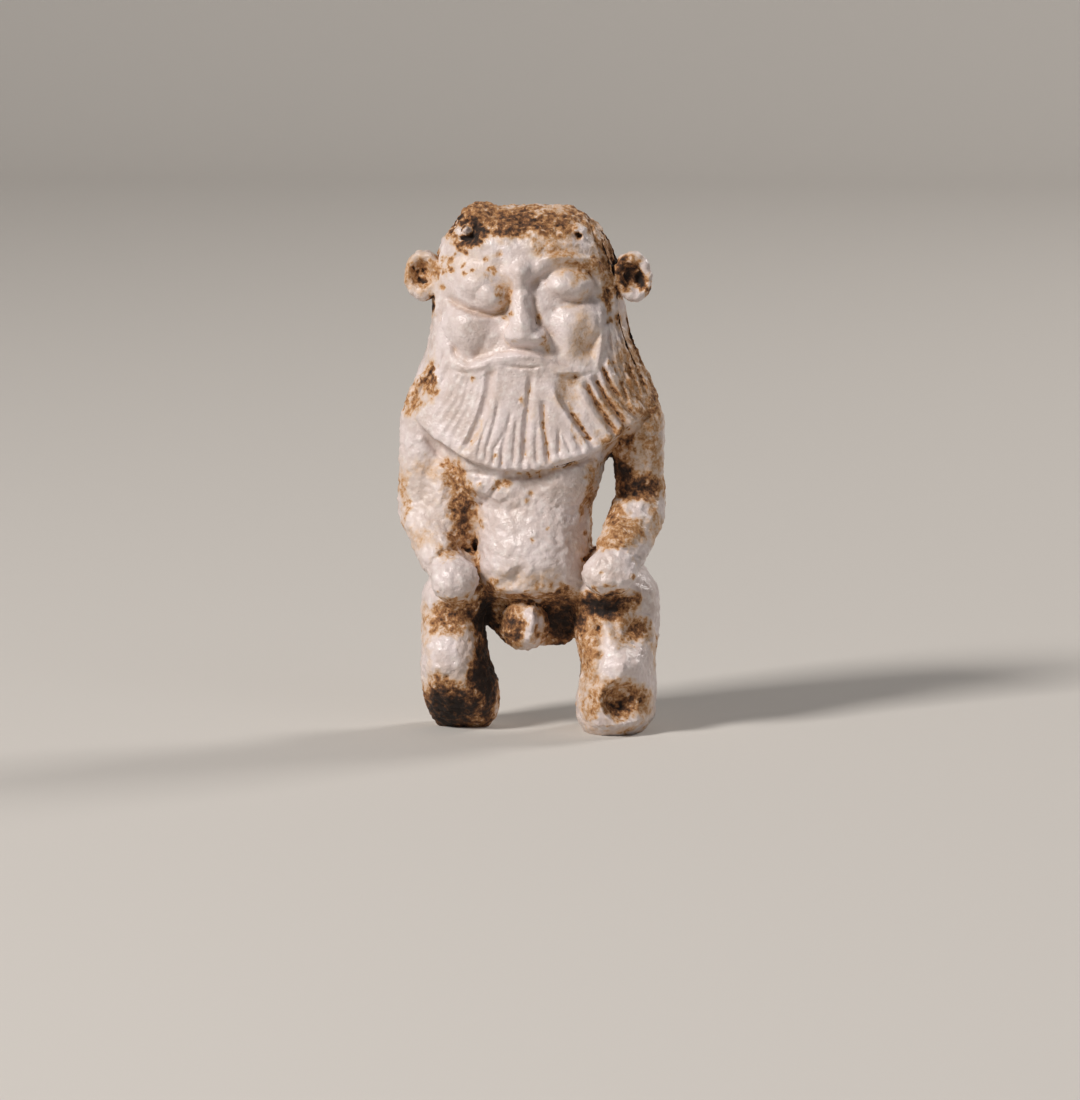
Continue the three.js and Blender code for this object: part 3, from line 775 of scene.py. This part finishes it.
def faienceGlaze():
    made = bpy.data.materials.new("faience_glaze_fired")
    made.use_nodes = True
    tree = made.node_tree
    shader = tree.nodes["Principled BSDF"]
    where = addNode(tree, "ShaderNodeTexCoord").outputs["Object"]
    soil = addNode(tree, "ShaderNodeAttribute", {"attribute_name": "soil"}).outputs["Fac"]
    clouds = addNode(tree, "ShaderNodeTexNoise", {}, {
        "Vector": where, "Scale": 1 / glazeLook["clouds"], "Detail": 3, "Roughness": 0.6}).outputs["Fac"]
    speck = addNode(tree, "ShaderNodeTexNoise", {}, {
        "Vector": where, "Scale": 1 / glazeLook["speck"], "Detail": 2, "Roughness": 0.5}).outputs["Fac"]
    dust = addNode(tree, "ShaderNodeTexNoise", {}, {
        "Vector": where, "Scale": 1 / glazeLook["dust"], "Detail": 2, "Roughness": 0.55}).outputs["Fac"]

    # Soil is ragged: it lies thick in some specks and leaves others bare.
    specks = addNode(tree, "ShaderNodeMath", {"operation": "MULTIPLY_ADD"}, {0: speck, 1: 1.25, 2: -0.62}).outputs[0]
    grit = addNode(tree, "ShaderNodeMath", {"operation": "MULTIPLY_ADD"}, {0: dust, 1: 0.8, 2: -0.4}).outputs[0]
    ragged = addNode(tree, "ShaderNodeMath", {"operation": "ADD"}, {0: specks, 1: grit}).outputs[0]
    touched = addNode(tree, "ShaderNodeMapRange", {}, {
        "Value": soil, "From Min": 0.08, "From Max": 0.55}).outputs["Result"]
    amount = addNode(tree, "ShaderNodeMath", {"operation": "MULTIPLY_ADD"}, {0: ragged, 1: touched, 2: soil}).outputs[0]

    shaded = addNode(tree, "ShaderNodeMapRange", {}, {
        "Value": clouds, "From Min": 0.35, "From Max": 0.65}).outputs["Result"]
    glaze = addNode(tree, "ShaderNodeMix", {"data_type": "RGBA"}, {
        0: shaded, 6: linear(glazeLook["cream"]), 7: linear(glazeLook["shade"])}).outputs[2]
    milky = addNode(tree, "ShaderNodeMapRange", {}, {
        "Value": speck, "From Min": 0.5, "From Max": 0.75, "To Max": 0.6}).outputs["Result"]
    glaze = addNode(tree, "ShaderNodeMix", {"data_type": "RGBA"}, {
        0: milky, 6: glaze, 7: linear(glazeLook["milk"])}).outputs[2]
    # Painted shade: the glaze darkens to tan where near walls hide the sky.
    shelter = addNode(tree, "ShaderNodeAttribute", {"attribute_name": "shelter"}).outputs["Fac"]
    paintedShadeInHollows = addNode(tree, "ShaderNodeMapRange", {}, {
        "Value": shelter, "From Min": 0.1, "From Max": 0.9, "To Max": 0.6}).outputs["Result"]
    glaze = addNode(tree, "ShaderNodeMix", {"data_type": "RGBA"}, {
        0: paintedShadeInHollows, 6: glaze, 7: linear(glazeLook["hollow"])}).outputs[2]
    ramp = addNode(tree, "ShaderNodeValToRGB", {}, {"Fac": amount})
    stops = ramp.color_ramp.elements
    stops[0].position, stops[0].color = glazeLook["soil"][0][0], linear(glazeLook["soil"][0][1])
    stops[1].position, stops[1].color = glazeLook["soil"][-1][0], linear(glazeLook["soil"][-1][1])
    for place, colour in glazeLook["soil"][1:-1]:
        stops.new(place).color = linear(colour)
    soiled = addNode(tree, "ShaderNodeMapRange", {}, {
        "Value": amount, "From Min": 0.04, "From Max": 0.36}).outputs["Result"]
    colour = addNode(tree, "ShaderNodeMix", {"data_type": "RGBA"}, {0: soiled, 6: glaze, 7: ramp.outputs["Color"]})
    tree.links.new(colour.outputs[2], shader.inputs["Base Color"])

    rough = addNode(tree, "ShaderNodeMapRange", {}, {
        "Value": amount, "From Min": 0.05, "From Max": 0.5, "To Min": glazeLook["gloss"], "To Max": glazeLook["matt"]})
    tree.links.new(rough.outputs["Result"], shader.inputs["Roughness"])
    shader.inputs["IOR"].default_value = glazeLook["ior"]

    cells = addNode(tree, "ShaderNodeTexVoronoi", {}, {
        "Vector": where, "Scale": 1 / glazeLook["pinhole"]}).outputs["Distance"]
    pinholes = addNode(tree, "ShaderNodeMapRange", {}, {
        "Value": cells, "From Min": 0.03, "From Max": 0.12, "To Max": 0.4}).outputs["Result"]
    lumps = addNode(tree, "ShaderNodeMath", {"operation": "MULTIPLY_ADD"}, {0: dust, 1: 0.7, 2: pinholes}).outputs[0]
    relief = addNode(tree, "ShaderNodeMath", {"operation": "ADD"}, {0: speck, 1: lumps}).outputs[0]
    bump = addNode(tree, "ShaderNodeBump", {}, {"Height": relief, "Strength": 0.6, "Distance": glazeLook["relief"]})
    tree.links.new(bump.outputs["Normal"], shader.inputs["Normal"])
    return made


skin.data.materials.append(faienceGlaze())
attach(skin, "root")
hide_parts("amulet")
print("glazed")

# 6. A plain pale floor that sweeps up behind, and soft studio light
studio = {
    "floorWide": 1600 * mm,
    "floorDeep": 700 * mm,
    "wall": 600 * mm,
    "sweep": 150 * mm,
    "floorColour": "#c9c5bf",
    "world": "#e8e6ea",
    "worldStrength": 0.1,
}

# Name, place in mm, size in mm, power in watts, colour
lamps = [
    ("key", (-445, -430, 495), 180, 6.1, "#fffaf6"),
    ("fill", (480, -480, 360), 400, 0.35, "#eef1fb"),
    ("rim", (420, 380, 420), 200, 2.0, "#fffaf6"),
]


def makeFloor():
    bpy.ops.mesh.primitive_plane_add(size=1)
    floor = bpy.context.object
    floor.name = "floor"
    bpy.ops.object.mode_set(mode="EDIT")
    bpy.ops.transform.resize(value=(studio["floorWide"], studio["floorDeep"] * 2, 1))
    bpy.ops.mesh.select_all(action="DESELECT")
    bpy.ops.object.mode_set(mode="OBJECT")
    for edge in floor.data.edges:
        edge.select = all(floor.data.vertices[i].co.y > 0 for i in edge.vertices)
    bpy.ops.object.mode_set(mode="EDIT")
    bpy.ops.mesh.select_mode(type="EDGE")
    bpy.ops.mesh.extrude_region_move(TRANSFORM_OT_translate={"value": (0, 0, studio["wall"])})
    bpy.ops.object.mode_set(mode="OBJECT")
    applyModifier(floor, "BEVEL", width=studio["sweep"], segments=24, limit_method="ANGLE")
    selectOnly(floor)
    bpy.ops.object.shade_smooth()
    paper = bpy.data.materials.new("backdrop_paper_matt")  # seamless paper: plain, pale and without gloss
    paper.use_nodes = True
    shader = paper.node_tree.nodes["Principled BSDF"]
    shader.inputs["Base Color"].default_value = linear(studio["floorColour"])
    shader.inputs["Roughness"].default_value = 0.9
    floor.data.materials.append(paper)


def makeLamps():
    middle = Vector((0, 0, 17 * mm))
    for name, place, size, power, colour in lamps:
        spot = Vector(place) * mm
        turn = (middle - spot).to_track_quat("-Z", "Y").to_euler()
        bpy.ops.object.light_add(type="AREA", location=spot, rotation=turn)
        lamp = bpy.context.object
        lamp.name = name
        lamp.data.size = size * mm
        lamp.data.energy = power
        lamp.data.color = linear(colour)[:3]
        lamp.visible_camera = False
    world = bpy.data.worlds.new("studio")
    bpy.context.scene.world = world
    world.use_nodes = True
    background = world.node_tree.nodes["Background"]
    background.inputs["Color"].default_value = linear(studio["world"])
    background.inputs["Strength"].default_value = studio["worldStrength"]


makeFloor()
makeLamps()
bpy.context.scene.view_settings.view_transform = "Standard"
print("studio set")
